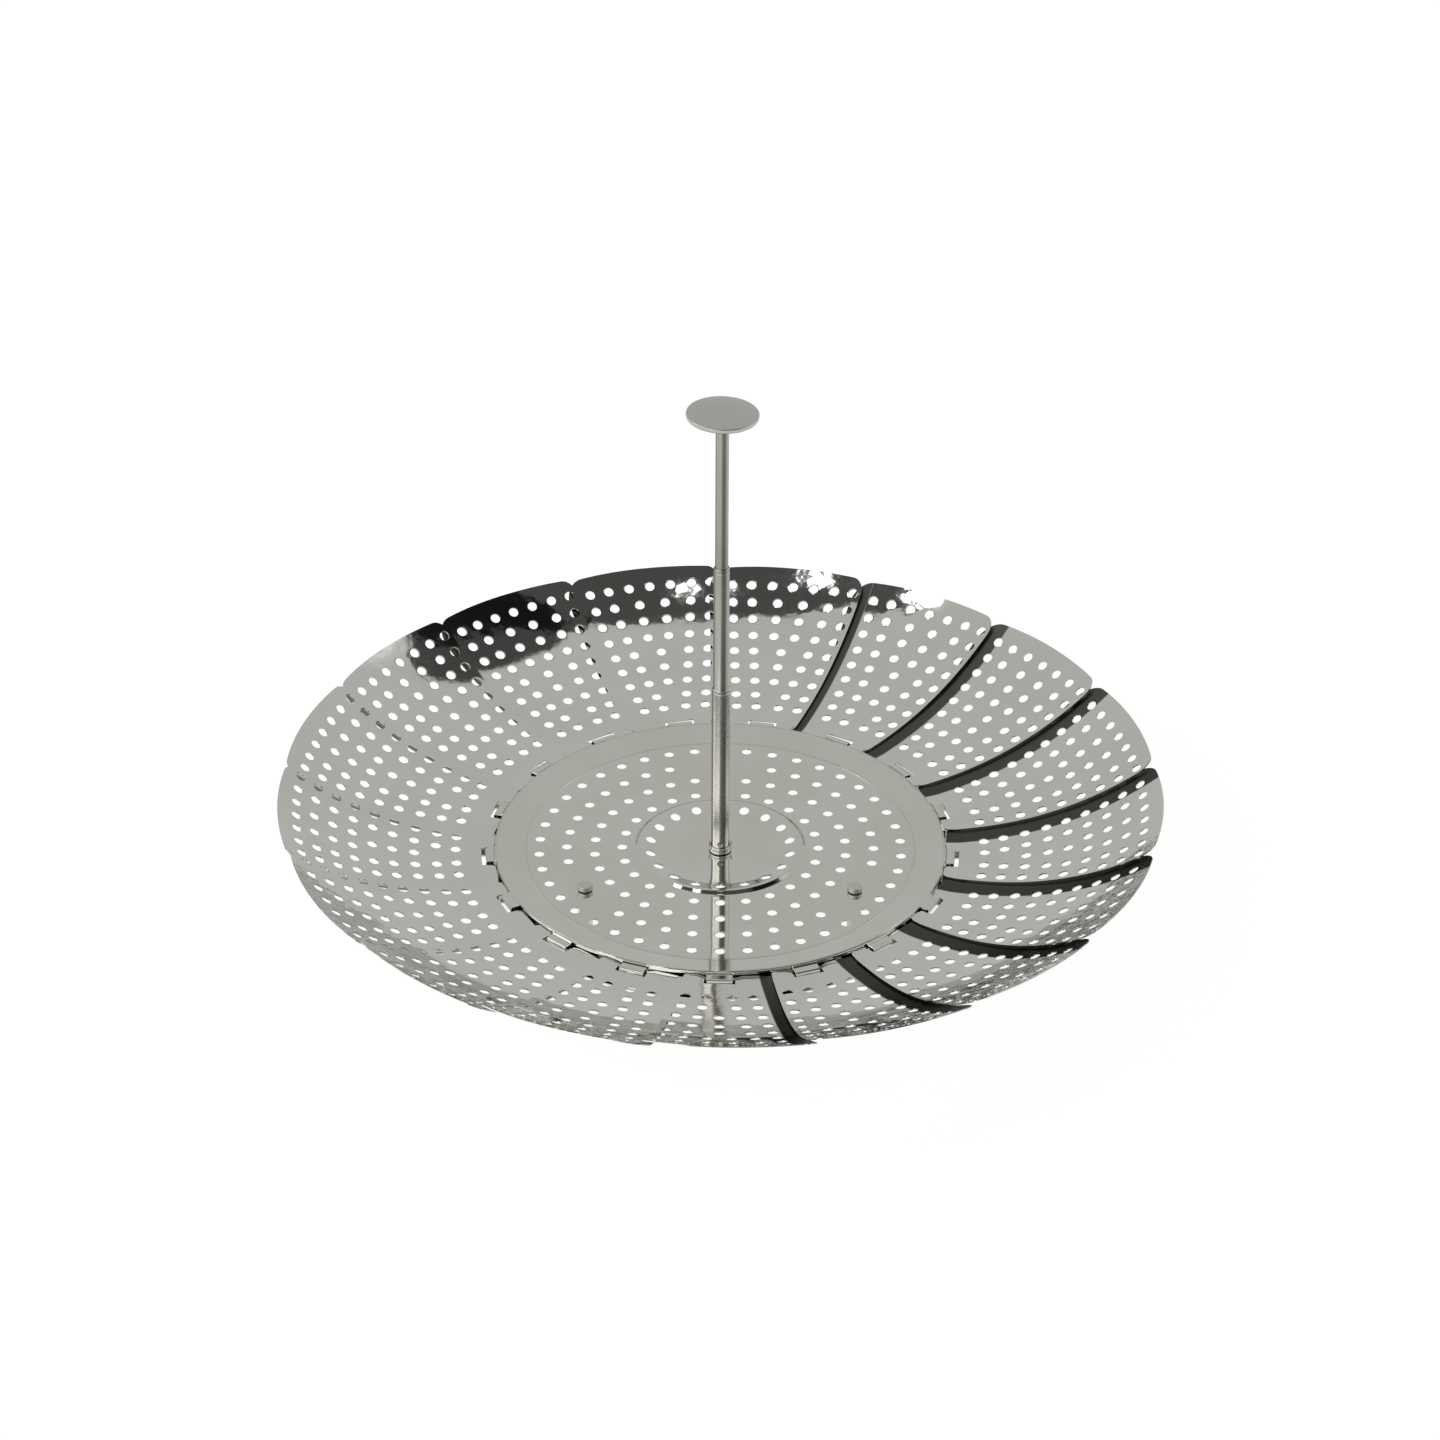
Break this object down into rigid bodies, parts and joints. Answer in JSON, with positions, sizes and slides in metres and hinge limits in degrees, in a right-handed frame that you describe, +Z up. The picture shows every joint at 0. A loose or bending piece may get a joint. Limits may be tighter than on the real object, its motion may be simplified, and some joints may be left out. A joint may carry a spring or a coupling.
{
  "type": "folding vegetable steamer",
  "caption": "Folding steamer basket: perforated base plate on peg feet, overlapping leaves on hooked hinges, and a telescopic centre post with a flat round knob.",
  "frame": {"origin": "on the centre post's axis, level with the flat undersides of the three feet", "axes": "+Z up along the post; one foot stands on +Y; one leaf's middle lies on -Y, which is the side that faces the camera"},
  "size_m": [0.2733, 0.273, 0.1763],
  "materials": {
    "polished_plate": "polished stainless steel sheet",
    "polished_leaf": "polished stainless steel sheet",
    "polished_post": "polished stainless steel tube",
    "satin_post": "satin stainless steel tube",
    "satin_knob": "satin stainless steel",
    "polished_feet": "polished stainless steel peg",
    "fastener_steel": "plain stainless steel"
  },
  "bodies": {
    "stand": {"base_plate": "polished_plate", "seat_ring": "polished_plate", "lower_tube": "polished_post", "lock_ring": "fastener_steel", "foot_1": "polished_feet", "foot_2": "polished_feet", "foot_3": "polished_feet", "post_plug": "fastener_steel", "post_screw": "fastener_steel", "post_washer": "fastener_steel"},
    "leaf_01": {"leaf_01": "polished_leaf"},
    "leaf_02": {"leaf_02": "polished_leaf"},
    "leaf_03": {"leaf_03": "polished_leaf"},
    "leaf_04": {"leaf_04": "polished_leaf"},
    "leaf_05": {"leaf_05": "polished_leaf"},
    "leaf_06": {"leaf_06": "polished_leaf"},
    "leaf_07": {"leaf_07": "polished_leaf"},
    "leaf_08": {"leaf_08": "polished_leaf"},
    "leaf_09": {"leaf_09": "polished_leaf"},
    "leaf_10": {"leaf_10": "polished_leaf"},
    "leaf_11": {"leaf_11": "polished_leaf"},
    "leaf_12": {"leaf_12": "polished_leaf"},
    "leaf_13": {"leaf_13": "polished_leaf"},
    "leaf_14": {"leaf_14": "polished_leaf"},
    "leaf_15": {"leaf_15": "polished_leaf"},
    "leaf_16": {"leaf_16": "polished_leaf"},
    "leaf_17": {"leaf_17": "polished_leaf"},
    "middle_section": {"middle_tube": "polished_post"},
    "handle_top": {"upper_tube": "satin_post", "knob": "satin_knob"}
  },
  "joints": [
    {"name": "leaf_01_fold", "type": "hinge", "parent": "stand", "child": "leaf_01", "pos_m": [0, -0.072, 0.02285], "axis": [-0.9932, 0.1044, -0.0523], "range_deg": [0, 88]},
    {"name": "leaf_02_fold", "type": "hinge", "parent": "stand", "child": "leaf_02", "pos_m": [0.02601, -0.06714, 0.02285], "axis": [-0.9638, -0.2614, -0.0523], "range_deg": [0, 88]},
    {"name": "leaf_03_fold", "type": "hinge", "parent": "stand", "child": "leaf_03", "pos_m": [0.04851, -0.05321, 0.02285], "axis": [-0.8043, -0.5919, -0.0523], "range_deg": [0, 88]},
    {"name": "leaf_04_fold", "type": "hinge", "parent": "stand", "child": "leaf_04", "pos_m": [0.06445, -0.03209, 0.02285], "axis": [-0.5361, -0.8425, -0.0523], "range_deg": [0, 88]},
    {"name": "leaf_05_fold", "type": "hinge", "parent": "stand", "child": "leaf_05", "pos_m": [0.07169, -0.00664, 0.02285], "axis": [-0.1956, -0.9793, -0.0523], "range_deg": [0, 88]},
    {"name": "leaf_06_fold", "type": "hinge", "parent": "stand", "child": "leaf_06", "pos_m": [0.06925, 0.0197, 0.02285], "axis": [0.1714, -0.9838, -0.0523], "range_deg": [0, 88]},
    {"name": "leaf_07_fold", "type": "hinge", "parent": "stand", "child": "leaf_07", "pos_m": [0.05746, 0.04339, 0.02285], "axis": [0.5152, -0.8555, -0.0523], "range_deg": [0, 88]},
    {"name": "leaf_08_fold", "type": "hinge", "parent": "stand", "child": "leaf_08", "pos_m": [0.0379, 0.06122, 0.02285], "axis": [0.7895, -0.6116, -0.0523], "range_deg": [0, 88]},
    {"name": "leaf_09_fold", "type": "hinge", "parent": "stand", "child": "leaf_09", "pos_m": [0.01323, 0.07077, 0.02285], "axis": [0.9571, -0.2851, -0.0523], "range_deg": [0, 88]},
    {"name": "leaf_10_fold", "type": "hinge", "parent": "stand", "child": "leaf_10", "pos_m": [-0.01323, 0.07077, 0.02285], "axis": [0.9954, 0.0799, -0.0523], "range_deg": [0, 88]},
    {"name": "leaf_11_fold", "type": "hinge", "parent": "stand", "child": "leaf_11", "pos_m": [-0.0379, 0.06122, 0.02285], "axis": [0.8994, 0.4341, -0.0523], "range_deg": [0, 88]},
    {"name": "leaf_12_fold", "type": "hinge", "parent": "stand", "child": "leaf_12", "pos_m": [-0.05746, 0.04339, 0.02285], "axis": [0.6818, 0.7297, -0.0523], "range_deg": [0, 88]},
    {"name": "leaf_13_fold", "type": "hinge", "parent": "stand", "child": "leaf_13", "pos_m": [-0.06925, 0.0197, 0.02285], "axis": [0.3722, 0.9267, -0.0523], "range_deg": [0, 88]},
    {"name": "leaf_14_fold", "type": "hinge", "parent": "stand", "child": "leaf_14", "pos_m": [-0.07169, -0.00664, 0.02285], "axis": [0.0123, 0.9986, -0.0523], "range_deg": [0, 88]},
    {"name": "leaf_15_fold", "type": "hinge", "parent": "stand", "child": "leaf_15", "pos_m": [-0.06445, -0.03209, 0.02285], "axis": [-0.3492, 0.9356, -0.0523], "range_deg": [0, 88]},
    {"name": "leaf_16_fold", "type": "hinge", "parent": "stand", "child": "leaf_16", "pos_m": [-0.04851, -0.05321, 0.02285], "axis": [-0.6636, 0.7462, -0.0523], "range_deg": [0, 88]},
    {"name": "leaf_17_fold", "type": "hinge", "parent": "stand", "child": "leaf_17", "pos_m": [-0.02601, -0.06714, 0.02285], "axis": [-0.8884, 0.4561, -0.0523], "range_deg": [0, 88]},
    {"name": "middle_slide", "type": "slide", "parent": "stand", "child": "middle_section", "axis": [0, 0, 1], "range_m": [-0.038, 0]},
    {"name": "upper_slide", "type": "slide", "parent": "middle_section", "child": "handle_top", "axis": [0, 0, 1], "range_m": [-0.049, 0]}
  ],
  "couplings": [
    {"joint": "leaf_02_fold", "follows": "leaf_01_fold", "ratio": 1},
    {"joint": "leaf_03_fold", "follows": "leaf_01_fold", "ratio": 1},
    {"joint": "leaf_04_fold", "follows": "leaf_01_fold", "ratio": 1},
    {"joint": "leaf_05_fold", "follows": "leaf_01_fold", "ratio": 1},
    {"joint": "leaf_06_fold", "follows": "leaf_01_fold", "ratio": 1},
    {"joint": "leaf_07_fold", "follows": "leaf_01_fold", "ratio": 1},
    {"joint": "leaf_08_fold", "follows": "leaf_01_fold", "ratio": 1},
    {"joint": "leaf_09_fold", "follows": "leaf_01_fold", "ratio": 1},
    {"joint": "leaf_10_fold", "follows": "leaf_01_fold", "ratio": 1},
    {"joint": "leaf_11_fold", "follows": "leaf_01_fold", "ratio": 1},
    {"joint": "leaf_12_fold", "follows": "leaf_01_fold", "ratio": 1},
    {"joint": "leaf_13_fold", "follows": "leaf_01_fold", "ratio": 1},
    {"joint": "leaf_14_fold", "follows": "leaf_01_fold", "ratio": 1},
    {"joint": "leaf_15_fold", "follows": "leaf_01_fold", "ratio": 1},
    {"joint": "leaf_16_fold", "follows": "leaf_01_fold", "ratio": 1},
    {"joint": "leaf_17_fold", "follows": "leaf_01_fold", "ratio": 1}
  ]
}
